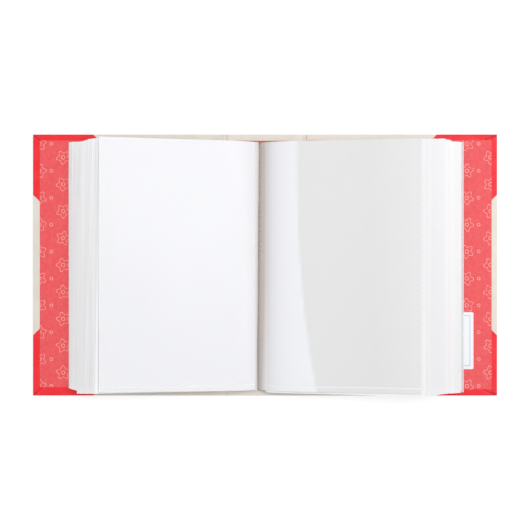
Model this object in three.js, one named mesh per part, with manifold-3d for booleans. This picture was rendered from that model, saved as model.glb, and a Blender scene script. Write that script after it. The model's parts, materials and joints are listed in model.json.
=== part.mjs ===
// Pocket photo album, lying open on its back near the middle of its block of leaves.
// Millimetres. X runs across the open album (front cover at -X), Y towards the head, Z up.
// The origin is on the surface that the album lies on, under the middle of the spine.
import * as THREE from 'three';
import { mergeVertices } from 'three/addons/utils/BufferGeometryUtils.js';
import Module from 'manifold-3d';

const wasm = await Module();
wasm.setup();

// Boards and the paper that wraps them
const boardWidth = 119.65;
const boardHeight = 164.4;
const boardThickness = 2;
const boardEdgeRound = 0.2;
const spineWidth = 46.8;
const jointWidth = 3.3;
const wrapPaper = 0.25;
const wrapFoldRound = 0.2;
const turnIn = 16;
const glueLine = 0.05;
const jointGrooveDepth = 0.9;

// Corner pieces: how far each runs along the fore-edge and along the head or tail
const cornerLeg = 38;
const cornerSeam = 0.06;

// Endpapers and lining, with the border of cover paper left round them
const liningPaper = 0.2;
const frontPaperHeight = 155.8;
const frontPaperShift = 0.75;
const frontPaperBorder = 4.4;
const backPaperHeight = 157.4;
const backPaperShift = 0.2;
const backPaperBorder = 3.5;
const spineLiningHeight = 157;
const liningSideGap = 0.1;

// Sticker on the back endpaper: size, and its borders to the cover's fore-edge and tail
const stickerWidth = 26;
const stickerHeight = 36;
const stickerThickness = 0.1;
const stickerCornerRadius = 1;
const stickerBorder = 15;
const stickerTailBorder = 16.7;

// Block of leaves
const leafCount = 38;
const frontLeafCount = 17;
const leafHeight = 155.5;
const leafThickness = 0.25;
const leafAir = 0.1;
const foreEdgeHeight = 107.8;
const blockWidth = 42;
const blockSideCover = 0.4;
const blockEdgeHeight = 4.6;
const blockShortfall = 1;
const rootClearance = 0.2;
const frontLeafShift = -0.3;
const backLeafShift = -1.3;

// How the open leaves lie: the lowest and highest fore-edge, the way they spread, and their arch
const lowestForeEdge = 3.3;
const frontForeEdgeTop = 26.3;
const backForeEdgeTop = 26;
const fanPower = 0.8;
const leafArch = 0.55;
const leafSteps = 8;

// Pockets on the two facing leaves, open at the head
const marginWidth = 3;
const creaseGap = 0.15;
const pocketFilm = 0.12;
const pocketDepth = 0.15;
const pocketSeam = 2.2;
const pocketInset = 0.6;

// The welded rim of the other leaves, where the two films are pressed together round the sheet
const rimThickness = 0.15;
const rimWidth = 2.2;

// Steps along a curve, and how far a cutting solid reaches past what it cuts
const curveSteps = 6;
const cutPast = 1;

// Stations along Z and X that the pieces share
const coverTop = 2 * (wrapPaper + glueLine) + boardThickness;
const boardBase = wrapPaper + glueLine;
const liningBase = coverTop + glueLine;
const liningTop = liningBase + liningPaper;
const blockBase = liningTop + glueLine;
const coverHeight = boardHeight + 2 * (wrapPaper + glueLine);
const coverWidth = boardWidth + glueLine + wrapPaper;
const jointEdge = spineWidth / 2 + jointWidth;
const foreEdge = jointEdge + coverWidth;
const rootPitch = blockWidth / (leafCount - 1);

// Makes share * (1 - share) ** 2 peak at 1
const archPeakFactor = 27 / 4;

const materials = {
  board: new THREE.MeshStandardMaterial({ color: 0x9c968c, roughness: 0.95, metalness: 0 }),
  coverPaper: new THREE.MeshStandardMaterial({ color: 0xded9cf, roughness: 0.6, metalness: 0 }),
  redPaper: new THREE.MeshStandardMaterial({ color: 0xf83c44, roughness: 0.55, metalness: 0 }),
  endpaper: new THREE.MeshStandardMaterial({ color: 0xf05a5f, roughness: 0.6, metalness: 0 }),
  sheet: new THREE.MeshStandardMaterial({ color: 0xf4f4f5, roughness: 0.35, metalness: 0 }),
  clearFilm: new THREE.MeshStandardMaterial({ color: 0xf7f7f8, roughness: 0.12, metalness: 0 }),
  frostedFilm: new THREE.MeshStandardMaterial({ color: 0xe4e5e8, roughness: 0.5, metalness: 0 }),
  block: new THREE.MeshStandardMaterial({ color: 0xe9e6df, roughness: 0.5, metalness: 0 }),
  sticker: new THREE.MeshStandardMaterial({ color: 0xf6f5f3, roughness: 0.5, metalness: 0 }),
};

// A closed geometry as a solid for joining and cutting
function toSolid(geometry) {
  const bare = geometry.clone();
  bare.deleteAttribute('normal');
  bare.deleteAttribute('uv');
  const merged = mergeVertices(bare, 1e-4);
  return new wasm.Manifold(new wasm.Mesh({
    numProp: 3,
    vertProperties: new Float32Array(merged.attributes.position.array),
    triVerts: new Uint32Array(merged.index.array),
  }));
}

function toGeometry(solid) {
  const mesh = solid.getMesh();
  const geometry = new THREE.BufferGeometry();
  geometry.setAttribute('position', new THREE.BufferAttribute(mesh.vertProperties, 3));
  geometry.setIndex(new THREE.BufferAttribute(mesh.triVerts, 1));
  geometry.computeVertexNormals();
  return geometry;
}

function named(name, geometry, material) {
  const mesh = new THREE.Mesh(geometry, material.clone());
  mesh.name = name;
  return mesh;
}

// A flat slab with its edges rounded over, from two opposite corners. Its X ends may come in
// either order, so that one line serves the front and the back.
function slab([xA, y0, z0], [xB, y1, z1], round = 0) {
  const x0 = Math.min(xA, xB);
  const x1 = Math.max(xA, xB);
  const outline = new THREE.Shape();
  outline.moveTo(x0, y0);
  outline.lineTo(x1, y0);
  outline.lineTo(x1, y1);
  outline.lineTo(x0, y1);
  const geometry = new THREE.ExtrudeGeometry(outline, {
    depth: z1 - z0 - 2 * round,
    bevelEnabled: round > 0,
    bevelSize: round,
    bevelOffset: -round,
    bevelThickness: round,
    bevelSegments: 2,
  });
  geometry.translate(0, 0, z0 + round);
  return geometry;
}

// A section drawn in X and Z, run along Y between two stations
function alongY(section, yFrom, yTo) {
  const options = { depth: yTo - yFrom, bevelEnabled: false, curveSegments: curveSteps };
  const geometry = new THREE.ExtrudeGeometry(section, options);
  geometry.rotateX(Math.PI / 2);
  geometry.translate(0, yTo, 0);
  return geometry;
}

// An outline drawn in X and Y, run up Z between two stations
function upZ(points, zFrom, zTo) {
  const outline = new THREE.Shape(points.map(([x, y]) => new THREE.Vector2(x, y)));
  const geometry = new THREE.ExtrudeGeometry(outline, { depth: zTo - zFrom, bevelEnabled: false });
  geometry.translate(0, 0, zFrom);
  return geometry;
}

// The cover paper of one board: under it, round its edges and turned in on top. The sheet runs on
// across the joint, so it is open at an inner edge, and on the spine at both.
function wrapShell(xInner, xOuter, isSpine) {
  const side = Math.sign(xOuter - xInner);
  const y = coverHeight / 2;
  const past = side * cutPast;
  // Where the outside, the cavity and the opening end: short of the outer edge, or past it
  const endAt = (inset, overrun) => (isSpine ? xOuter + overrun : xOuter - side * inset);
  const outside = slab([xInner - past, -y, 0], [endAt(0, past), y, coverTop], wrapFoldRound);
  const cavity = slab(
    [xInner - 2 * past, -y + wrapPaper, wrapPaper],
    [endAt(wrapPaper, 2 * past), y - wrapPaper, coverTop - wrapPaper],
  );
  const opening = slab(
    [xInner - 2 * past, -y + turnIn, coverTop / 2],
    [endAt(turnIn, 2 * past), y - turnIn, coverTop + cutPast],
  );
  const kept = slab([xInner, -y - cutPast, -cutPast], [xOuter, y + cutPast, coverTop + cutPast]);
  return toSolid(outside)
    .subtract(toSolid(cavity))
    .subtract(toSolid(opening))
    .intersect(toSolid(kept));
}

// The space that a corner piece takes. It is cut from one flat sheet with a straight slanting edge,
// so it narrows away from the edge under the cover and widens away from it where it is turned in.
function cornerSpace(side, end, leg) {
  const place = ([along, up]) => [side * (foreEdge - along), end * (coverHeight / 2 - up)];
  const under = [[-cutPast, -cutPast], [leg + cutPast, -cutPast], [-cutPast, leg + cutPast]];
  const over = [
    [-cutPast, -cutPast],
    [leg - cutPast, -cutPast],
    [leg + turnIn, turnIn],
    [turnIn, leg + turnIn],
    [-cutPast, leg - cutPast],
  ];
  const lower = upZ(under.map(place), -cutPast, coverTop / 2);
  const upper = upZ(over.map(place), coverTop / 2, coverTop + cutPast);
  return toSolid(lower).add(toSolid(upper));
}

// One cover: board, cover paper, two corner pieces and endpaper. side is -1 in front, 1 behind.
function cover(side, name, paper) {
  const group = new THREE.Group();
  const inner = side * jointEdge;
  const outer = side * foreEdge;
  const board = slab(
    [inner, -boardHeight / 2, boardBase],
    [side * (jointEdge + boardWidth), boardHeight / 2, boardBase + boardThickness],
    boardEdgeRound,
  );
  group.add(named(`${name}_board`, board, materials.board));

  const shell = wrapShell(inner, outer, false);
  let sheet = shell;
  for (const [end, label] of [[1, 'head'], [-1, 'tail']]) {
    const corner = shell.intersect(cornerSpace(side, end, cornerLeg));
    sheet = sheet.subtract(cornerSpace(side, end, cornerLeg + cornerSeam));
    group.add(named(`${name}_corner_${label}`, toGeometry(corner), materials.redPaper));
  }
  group.add(named(`${name}_wrap`, toGeometry(sheet), materials.coverPaper));

  const endpaper = slab(
    [inner, paper.shift - paper.height / 2, liningBase],
    [side * (foreEdge - paper.border), paper.shift + paper.height / 2, liningTop],
  );
  group.add(named(`${name}_endpaper`, endpaper, materials.endpaper));
  return group;
}

// The bare strip between two boards, pressed into a groove on both faces, where the cover bends
function joint(side, name) {
  const half = jointWidth / 2 - glueLine;
  const section = new THREE.Shape();
  section.moveTo(-half, 0);
  section.quadraticCurveTo(0, 2 * jointGrooveDepth, half, 0);
  section.lineTo(half, coverTop);
  section.quadraticCurveTo(0, coverTop - 2 * jointGrooveDepth, -half, coverTop);
  section.closePath();
  const strip = alongY(section, -coverHeight / 2, coverHeight / 2);
  const mesh = named(`${name}_joint`, strip, materials.coverPaper);
  mesh.position.x = side * (spineWidth / 2 + jointWidth / 2);
  return mesh;
}

function spine() {
  const group = new THREE.Group();
  const half = spineWidth / 2;
  const board = slab(
    [-half, -boardHeight / 2, boardBase],
    [half, boardHeight / 2, boardBase + boardThickness],
    boardEdgeRound,
  );
  group.add(named('spine_board', board, materials.board));
  group.add(named('spine_wrap', toGeometry(wrapShell(-half, half, true)), materials.coverPaper));
  const lining = slab(
    [-half + liningSideGap, -spineLiningHeight / 2, liningBase],
    [half - liningSideGap, spineLiningHeight / 2, liningTop],
  );
  group.add(named('spine_lining', lining, materials.redPaper));
  return group;
}

// The label stuck on the back endpaper
function sticker() {
  const outline = new THREE.Shape();
  const w = stickerWidth / 2;
  const h = stickerHeight / 2;
  const r = stickerCornerRadius;
  outline.moveTo(-w + r, -h);
  outline.lineTo(w - r, -h);
  outline.absarc(w - r, -h + r, r, -Math.PI / 2, 0);
  outline.lineTo(w, h - r);
  outline.absarc(w - r, h - r, r, 0, Math.PI / 2);
  outline.lineTo(-w + r, h);
  outline.absarc(-w + r, h - r, r, Math.PI / 2, Math.PI);
  outline.lineTo(-w, -h + r);
  outline.absarc(-w + r, -h + r, r, Math.PI, 1.5 * Math.PI);
  const options = { depth: stickerThickness, bevelEnabled: false, curveSegments: curveSteps };
  const mesh = named('label_sticker', new THREE.ExtrudeGeometry(outline, options), materials.sticker);
  mesh.position.x = foreEdge - stickerBorder - w;
  mesh.position.y = stickerTailBorder + h - coverHeight / 2;
  mesh.position.z = liningTop + glueLine;
  return mesh;
}

// Where each leaf of one side lies. Leaves are counted from the lowest, whose root is the outermost.
// Each root stands just high enough for its leaf to pass over the root of the leaf below.
function layLeaves(side, count, foreEdgeTop) {
  const leaves = [];
  let rootZ = blockEdgeHeight + rootClearance + leafThickness / 2;
  for (let k = 0; k < count; k += 1) {
    const spread = (k / (count - 1)) ** fanPower;
    const foreZ = lowestForeEdge + (foreEdgeTop - lowestForeEdge) * spread;
    if (k > 0) {
      const reach = foreEdgeHeight - rootZ;
      const steepness = (foreZ - rootZ) / reach + archSlope(reach);
      rootZ += leafThickness + leafAir - rootPitch * steepness;
    }
    const length = foreEdgeHeight - rootZ;
    const lift = Math.asin((foreZ - rootZ) / length);
    leaves.push({ side, x: side * (blockWidth / 2 - rootPitch * k), z: rootZ, length, lift });
  }
  return leaves;
}

// Height of a leaf's arch above the straight line from root to fore-edge. It is highest a third of
// the way along, where the leaf comes out of the gutter, and levels out at the fore-edge.
function archHeight(along, length) {
  const share = along / length;
  return leafArch * archPeakFactor * share * (1 - share) ** 2;
}

// Steepness of that arch at the root
function archSlope(length) {
  return archPeakFactor * leafArch / length;
}

// A layer of a leaf, between two stations along it and two heights off its middle surface. All the
// layers of a leaf bend at the same stations, so they stay parallel.
function leafLayer(leaf, from, to, low, high, yFrom, yTo) {
  const step = leaf.length / leafSteps;
  const middle = (along) => {
    const start = Math.min(Math.floor(along / step), leafSteps - 1) * step;
    const heights = [archHeight(start, leaf.length), archHeight(start + step, leaf.length)];
    return THREE.MathUtils.lerp(heights[0], heights[1], (along - start) / step);
  };
  const stations = [from];
  for (let i = 1; i < leafSteps; i += 1) {
    if (i * step > from && i * step < to) stations.push(i * step);
  }
  stations.push(to);
  const lower = stations.map((s) => new THREE.Vector2(leaf.side * s, middle(s) + low));
  const upper = stations.map((s) => new THREE.Vector2(leaf.side * s, middle(s) + high));
  return alongY(new THREE.Shape([...lower, ...upper.reverse()]), yFrom, yTo);
}

// A leaf's sheet and its two films as one body. The films are pressed together along the binding,
// the fore-edge and the tail, so the rim is thinner. At the head the pocket is open.
function weldedLeaf(leaf, yFrom, yTo) {
  const half = leafThickness / 2;
  const rim = rimThickness / 2;
  const inside = leaf.length - rimWidth;
  return toSolid(leafLayer(leaf, rimWidth, inside, -half, half, yFrom + rimWidth, yTo))
    .add(toSolid(leafLayer(leaf, 0, leaf.length, -rim, rim, yFrom, yTo)));
}

// A film over a leaf, welded to it along three edges and open at the head
function pocket(leaf, from, yFrom, yTo) {
  const to = leaf.length - pocketInset;
  const seat = leafThickness / 2 + glueLine;
  const base = leafThickness / 2 + pocketDepth;
  const top = base + pocketFilm;
  return toSolid(leafLayer(leaf, from, to, base, top, yFrom, yTo))
    .add(toSolid(leafLayer(leaf, from, from + pocketSeam, seat, top, yFrom, yTo)))
    .add(toSolid(leafLayer(leaf, to - pocketSeam, to, seat, top, yFrom, yTo)))
    .add(toSolid(leafLayer(leaf, from, to, seat, top, yFrom, yFrom + pocketSeam)));
}

// Leaves are numbered from the front cover to the back, as they are when the album is closed
function leafName(number) {
  return `leaf_${String(number).padStart(2, '0')}`;
}

// One side's leaves. The top leaf carries a pocket film, and in front it is creased beside its
// binding margin, so that the page can be turned over by itself.
function leafStack(leaves, shift, film, isCreased) {
  const group = new THREE.Group();
  const yFrom = shift - leafHeight / 2;
  const yTo = shift + leafHeight / 2;
  const half = leafThickness / 2;
  const flat = (leaf, from, to) => leafLayer(leaf, from, to, -half, half, yFrom, yTo);
  leaves.forEach((leaf, k) => {
    const name = leafName(leaf.side < 0 ? k + 1 : leafCount - k);
    const pieces = [];
    if (k < leaves.length - 1) {
      pieces.push(named(name, toGeometry(weldedLeaf(leaf, yFrom, yTo)), materials.sheet));
    } else {
      const start = isCreased ? marginWidth + creaseGap : 0;
      const front = toGeometry(pocket(leaf, marginWidth + creaseGap, yFrom, yTo));
      pieces.push(named(`${name}_sheet`, flat(leaf, start, leaf.length), materials.sheet));
      pieces.push(named(`${name}_pocket`, front, film));
      if (isCreased) {
        pieces.push(named(`${name}_margin`, flat(leaf, 0, marginWidth), materials.sheet));
      }
    }
    const stand = new THREE.Group();
    stand.position.set(leaf.x, 0, leaf.z);
    stand.rotation.y = -leaf.side * leaf.lift;
    stand.add(...pieces);
    group.add(stand);
  });
  return group;
}

// The welded binding edges of all the leaves. Its top follows the roots, so it is domed.
function leafBlock(frontLeaves, backLeaves) {
  const half = blockWidth / 2 + blockSideCover;
  const drop = rootClearance + leafThickness / 2;
  const crown = [...frontLeaves, ...[...backLeaves].reverse()].map(({ x, z }) => [x, z - drop]);
  const section = new THREE.Shape();
  section.moveTo(-half, blockBase);
  section.lineTo(half, blockBase);
  section.lineTo(half, blockEdgeHeight);
  for (const [x, z] of crown.reverse()) section.lineTo(x, z);
  section.lineTo(-half, blockEdgeHeight);
  section.closePath();
  const middle = (frontLeafShift + backLeafShift) / 2;
  const halfHeight = (leafHeight - blockShortfall) / 2;
  const block = alongY(section, middle - halfHeight, middle + halfHeight);
  return named('leaf_block', block, materials.block);
}

const frontLeaves = layLeaves(-1, frontLeafCount, frontForeEdgeTop);
const backLeaves = layLeaves(1, leafCount - frontLeafCount, backForeEdgeTop);

const album = new THREE.Group();
album.name = 'pocket_photo_album';
album.add(spine());
album.add(cover(-1, 'front', {
  height: frontPaperHeight, shift: frontPaperShift, border: frontPaperBorder,
}));
album.add(cover(1, 'back', {
  height: backPaperHeight, shift: backPaperShift, border: backPaperBorder,
}));
album.add(joint(-1, 'front'));
album.add(joint(1, 'back'));
album.add(sticker());
album.add(leafBlock(frontLeaves, backLeaves));
album.add(leafStack(frontLeaves, frontLeafShift, materials.clearFilm, true));
album.add(leafStack(backLeaves, backLeafShift, materials.frostedFilm, false));

export default album;
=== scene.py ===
# %% [markdown]
# # A pocket photo album, lying open
# The album is built in CAD as boards, wrapping papers, a welded block and leaves, each with its
# hinge. This script dresses that frame: it keeps the solids whose shape is right and gives them
# paper and film finishes, and replaces the leaves, which really bend, with finer meshes.
# Everything is in metres in the frame's own axes: X across the open album, Y towards the head.

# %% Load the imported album
import json
import math
import random
from collections import namedtuple

import bpy
import numpy as np
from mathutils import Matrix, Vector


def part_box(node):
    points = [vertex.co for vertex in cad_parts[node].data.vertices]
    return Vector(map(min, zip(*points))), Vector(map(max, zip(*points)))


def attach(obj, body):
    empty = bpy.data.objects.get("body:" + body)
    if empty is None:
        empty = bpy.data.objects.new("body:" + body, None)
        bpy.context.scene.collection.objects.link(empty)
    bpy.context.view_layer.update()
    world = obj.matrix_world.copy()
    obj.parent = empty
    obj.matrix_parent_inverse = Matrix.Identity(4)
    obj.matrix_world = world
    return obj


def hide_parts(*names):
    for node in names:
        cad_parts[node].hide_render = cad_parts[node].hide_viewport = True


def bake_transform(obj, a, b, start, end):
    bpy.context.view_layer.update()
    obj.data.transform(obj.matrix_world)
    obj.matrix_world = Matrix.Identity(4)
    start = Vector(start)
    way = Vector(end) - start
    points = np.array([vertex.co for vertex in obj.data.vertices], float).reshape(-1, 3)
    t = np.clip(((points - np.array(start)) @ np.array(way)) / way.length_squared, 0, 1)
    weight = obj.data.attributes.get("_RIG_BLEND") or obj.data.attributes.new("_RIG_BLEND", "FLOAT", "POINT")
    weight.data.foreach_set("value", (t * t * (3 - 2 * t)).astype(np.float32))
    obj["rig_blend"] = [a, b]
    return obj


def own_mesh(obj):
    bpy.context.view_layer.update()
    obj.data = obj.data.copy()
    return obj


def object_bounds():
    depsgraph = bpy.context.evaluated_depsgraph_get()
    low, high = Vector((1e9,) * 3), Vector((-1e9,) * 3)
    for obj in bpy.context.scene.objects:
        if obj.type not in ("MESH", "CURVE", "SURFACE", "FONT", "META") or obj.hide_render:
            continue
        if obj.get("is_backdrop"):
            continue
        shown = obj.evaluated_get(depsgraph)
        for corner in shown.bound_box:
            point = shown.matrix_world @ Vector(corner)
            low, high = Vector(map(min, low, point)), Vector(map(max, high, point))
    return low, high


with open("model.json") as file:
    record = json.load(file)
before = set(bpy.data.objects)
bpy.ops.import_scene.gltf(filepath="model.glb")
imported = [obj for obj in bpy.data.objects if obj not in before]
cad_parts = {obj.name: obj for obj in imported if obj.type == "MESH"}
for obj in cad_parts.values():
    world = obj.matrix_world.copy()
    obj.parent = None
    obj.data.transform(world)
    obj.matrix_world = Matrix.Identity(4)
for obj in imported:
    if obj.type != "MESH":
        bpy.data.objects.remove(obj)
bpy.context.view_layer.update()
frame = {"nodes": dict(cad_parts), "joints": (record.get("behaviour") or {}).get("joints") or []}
MM = 0.001

# %% [markdown]
# ## Camera
# The photograph looks straight down at the middle of the album. The top leaves spread outward
# from their roots as they rise, and how far they do gives the distance: about 600 mm. The picture
# is 530 pixels wide, and at that distance one millimetre on the table covers 1.575 of them.

# %% Camera straight above
PICTURE = 530
CAMERA_HEIGHT = 600
PIXELS_PER_MM = 1.5753
SENSOR = 36

lens = CAMERA_HEIGHT * PIXELS_PER_MM / PICTURE * SENSOR
camera = bpy.data.objects.new("camera", bpy.data.cameras.new("camera"))
camera.data.sensor_width = SENSOR
camera.data.lens = lens
camera.data.clip_start = 0.01
camera.location = (0, 0, CAMERA_HEIGHT * MM)
bpy.context.scene.collection.objects.link(camera)
bpy.context.scene.camera = camera
print(f"lens {lens:.1f} mm")

# %% [markdown]
# ## Colour and nodes
# Colours are written as sRGB hex, as a paint chart or the photograph gives them, and turned to
# the linear values that Blender mixes. One small function adds any node with its settings and
# links, so that a material reads from top to bottom.

# %% Helpers for materials
# Sockets of the Mix node when it mixes colours, which it numbers rather than names
FACTOR, FIRST, SECOND, MIXED = 0, 6, 7, 2


def linear(hex_colour):
    """An sRGB hex colour as linear red, green, blue and alpha."""
    parts = [int(hex_colour[i:i + 2], 16) / 255 for i in (0, 2, 4)]
    return [p / 12.92 if p <= 0.04045 else ((p + 0.055) / 1.055) ** 2.4 for p in parts] + [1.0]


def add(material, kind, inputs=None, **settings):
    """Adds a node to a material or the world. A socket among the inputs is linked, others are set."""
    node = material.node_tree.nodes.new(kind)
    for name, value in settings.items():
        setattr(node, name, value)
    for key, value in (inputs or {}).items():
        if isinstance(value, bpy.types.NodeSocket):
            material.node_tree.links.new(value, node.inputs[key])
        else:
            node.inputs[key].default_value = value
    return node


def start_finish(name, colour, roughness, ior=1.5):
    """A new material with its one shader set, and that shader."""
    material = bpy.data.materials.new(name)
    material.use_nodes = True
    shader = material.node_tree.nodes["Principled BSDF"]
    shader.inputs["Base Color"].default_value = linear(colour)
    shader.inputs["Roughness"].default_value = roughness
    shader.inputs["IOR"].default_value = ior
    return material, shader


def link(material, output, shader, name):
    material.node_tree.links.new(output, shader.inputs[name])


# %% [markdown]
# ## Clouds and grain
# No sheet of paper or film is quite even. Two kinds of unevenness come back in most finishes here:
# clouds, which blend two close colours, and a grain or ripple, which tilts the surface without
# moving it. Both are noise, whose scale is one over the real size of its grains.

# %% Clouds and grain
# Noise seldom leaves this part of its range, so close colours are spread over it
CLOUD_SPAN = (0.35, 0.65)


def clouded(material, size, detail, deep, pale, span=(0, 1)):
    """Two colours blended in clouds of that size, as a socket."""
    place = add(material, "ShaderNodeTexCoord").outputs["Object"]
    noise = add(material, "ShaderNodeTexNoise", {
        "Vector": place, "Scale": 1 / size, "Detail": detail})
    spread = add(material, "ShaderNodeMapRange", {
        "Value": noise.outputs["Fac"], "From Min": span[0], "From Max": span[1]})
    tone = add(material, "ShaderNodeMix", {
        FACTOR: spread.outputs["Result"], FIRST: linear(deep), SECOND: linear(pale)},
        data_type="RGBA")
    return tone.outputs[MIXED]


def roughen(material, shader, size, detail, strength, depth):
    """Gives the surface a grain or ripple of that size and depth."""
    place = add(material, "ShaderNodeTexCoord").outputs["Object"]
    noise = add(material, "ShaderNodeTexNoise", {
        "Vector": place, "Scale": 1 / size, "Detail": detail})
    bump = add(material, "ShaderNodeBump", {
        "Height": noise.outputs["Fac"], "Strength": strength, "Distance": depth})
    link(material, bump.outputs["Normal"], shader, "Normal")


# %% [markdown]
# ## Paper that is printed and laminated
# The cover paper is a beige printed sheet with a thin matt lamination, and the corner pieces are
# red. Up close such paper isn't flat colour: the fibres under the film give a faint cloudiness a
# few millimetres across, and a grain. The real grain is near 0.1 mm, too fine to show, so it is
# drawn at 0.4 mm. The lining under the block is the same red, painted darker and duller as painted
# shade from the block and leaves over it. Where a red flap is cut at a corner crease, its bevelled
# edge is painted a darker red: painted shade for the dark line along the crease.

# %% Matt laminated paper
LAMINATE_CLOUD = 6.25 * MM
LAMINATE_GRAIN = 0.4 * MM
MATT_GLOSS = 0.3


def laminated_paper(name, pale, deep, roughness):
    """Coated paper, clouded between two close colours."""
    material, shader = start_finish(name, pale, roughness)
    shader.inputs["Specular IOR Level"].default_value = MATT_GLOSS
    tone = clouded(material, LAMINATE_CLOUD, 6.0, deep, pale, CLOUD_SPAN)
    link(material, tone, shader, "Base Color")
    roughen(material, shader, LAMINATE_GRAIN, 3.0, 0.25, 0.05 * MM)
    return material


beige_paper = laminated_paper("beige_laminated_paper", "E5DFD5", "DFD9CE", 0.36)
red_paper = laminated_paper("red_laminated_paper", "F63039", "F0242F", 0.55)
# The lining's red is painted darker and duller: painted shade under the block and leaves
shaded_lining_paper = laminated_paper("red_lining_paper", "C86462", "BE5856", 0.6)
# A darker red for the cut edge at the crease: painted shade
painted_shade_cut_edge = start_finish("cut_edge_of_red_paper", "B81F29", 0.8)[0]
print("papers", beige_paper.name, red_paper.name, shaded_lining_paper.name, "and", painted_shade_cut_edge.name)

# %% [markdown]
# ## The printed endpapers
# The endpapers are uncoated red paper printed with small outline drawings in pale pink. The print
# here is a plain stationery pattern of our own: five-petalled flowers drawn in one line, each
# tilted its own way, in columns that are stepped by half, with a small ring between them.
#
# A picture texture would be the usual way. Drawn with nodes instead, the print stays sharp at any
# distance: the sheet is cut into cells, and in each cell the distance from the middle is compared
# with the outline's own radius at that angle.

# %% Endpaper print
CELL_ACROSS = 15.0 * MM
CELL_DOWN = 17.0 * MM
FLOWER_RADIUS = 3.5 * MM
EYE_RADIUS = 1.1 * MM
RING_RADIUS = 0.9 * MM
LINE_HALF_WIDTH = 0.21 * MM
PETALS = 5.0
PETAL_DEPTH = 0.24
# Any two numbers that give each column and row of cells a number of its own
COLUMN_STEP, ROW_STEP = 7.3, 3.1

endpaper_print, shader = start_finish("printed_uncoated_paper", "E85357", 0.62)
place = add(endpaper_print, "ShaderNodeTexCoord").outputs["Object"]
axes = add(endpaper_print, "ShaderNodeSeparateXYZ", {"Vector": place})


def figure(operation, *values):
    """One sum in the endpaper's node tree, and its result."""
    inputs = dict(enumerate(values))
    return add(endpaper_print, "ShaderNodeMath", inputs, operation=operation).outputs[0]


def cell_middle(shift):
    """The place inside a cell measured from its middle, and a number for each cell."""
    across = figure("ADD", figure("DIVIDE", axes.outputs["X"], CELL_ACROSS), shift)
    column = figure("FLOOR", across)
    step = figure("MULTIPLY", figure("MODULO", figure("ABSOLUTE", column), 2.0), 0.5)
    down = figure("ADD", figure("DIVIDE", axes.outputs["Y"], CELL_DOWN), step)
    down = figure("ADD", down, shift)
    row = figure("FLOOR", down)
    x = figure("MULTIPLY", figure("SUBTRACT", figure("FRACT", across), 0.5), CELL_ACROSS)
    y = figure("MULTIPLY", figure("SUBTRACT", figure("FRACT", down), 0.5), CELL_DOWN)
    cell = figure("ADD", figure("MULTIPLY", column, COLUMN_STEP), figure("MULTIPLY", row, ROW_STEP))
    return x, y, cell


def outline(x, y, radius):
    """1 on a line at that distance from the cell's middle."""
    reach = figure("SQRT", figure("ADD", figure("MULTIPLY", x, x), figure("MULTIPLY", y, y)))
    return figure("COMPARE", reach, radius, LINE_HALF_WIDTH)


x, y, cell = cell_middle(0.0)
tilt = add(endpaper_print, "ShaderNodeTexWhiteNoise", {"W": cell}, noise_dimensions="1D")
turned = figure("MULTIPLY", tilt.outputs["Value"], math.tau)
angle = figure("ADD", figure("ARCTAN2", y, x), turned)
petals = figure("COSINE", figure("MULTIPLY", angle, PETALS))
flower_edge = figure("MULTIPLY", figure("MULTIPLY_ADD", petals, PETAL_DEPTH, 1.0), FLOWER_RADIUS)
flower = figure("ADD", outline(x, y, flower_edge), outline(x, y, EYE_RADIUS))
x, y, cell = cell_middle(0.5)
lines = figure("ADD", flower, outline(x, y, RING_RADIUS))

# %% [markdown]
# The ink lies unevenly on uncoated paper, so the lines are a little broken, and the red itself is
# cloudy. The fibres are coarser than on the laminated sheets, and here too they are drawn larger
# than they are, so that they show.

# %% Endpaper colour
INK_BREAKS = 1.11 * MM
ENDPAPER_CLOUD = 1.92 * MM
ENDPAPER_FIBRE = 0.555 * MM

wear = add(endpaper_print, "ShaderNodeTexNoise", {
    "Vector": place, "Scale": 1 / INK_BREAKS, "Detail": 4.0})
ink = add(endpaper_print, "ShaderNodeMapRange", {
    "Value": wear.outputs["Fac"], "From Min": 0.3, "From Max": 0.6, "To Min": 0.35, "To Max": 0.8})
inked = figure("MULTIPLY", figure("MINIMUM", lines, 1.0), ink.outputs["Result"])
red = clouded(endpaper_print, ENDPAPER_CLOUD, 6.0, "EB4E53", "F15A5E", CLOUD_SPAN)
printed = add(endpaper_print, "ShaderNodeMix", {
    FACTOR: inked, FIRST: red, SECOND: linear("FBC4BC")}, data_type="RGBA")
link(endpaper_print, printed.outputs[MIXED], shader, "Base Color")
roughen(endpaper_print, shader, ENDPAPER_FIBRE, 4.0, 0.4, 0.08 * MM)
print("endpaper print", len(endpaper_print.node_tree.nodes), "nodes")

# %% [markdown]
# ## Board, label and block
# Grey board is pressed recycled pulp: matt and flecked. The label is smooth white sticker paper
# with a thin printed frame and is otherwise bare. The block is where the film margins of all the
# leaves are welded together, so it is milky plastic with a slight gloss.

# %% Grey board
PULP_FLECK = 0.91 * MM

grey_board, shader = start_finish("grey_pulp_board", "9E978B", 0.9)
flecks = clouded(grey_board, PULP_FLECK, 8.0, "847D72", "B3ACA0")
link(grey_board, flecks, shader, "Base Color")
print("board flecks", round(PULP_FLECK / MM, 2), "mm")

# %% Label paper
FRAME_INSET = 2.2 * MM
FRAME_LINE = 0.2 * MM

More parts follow.
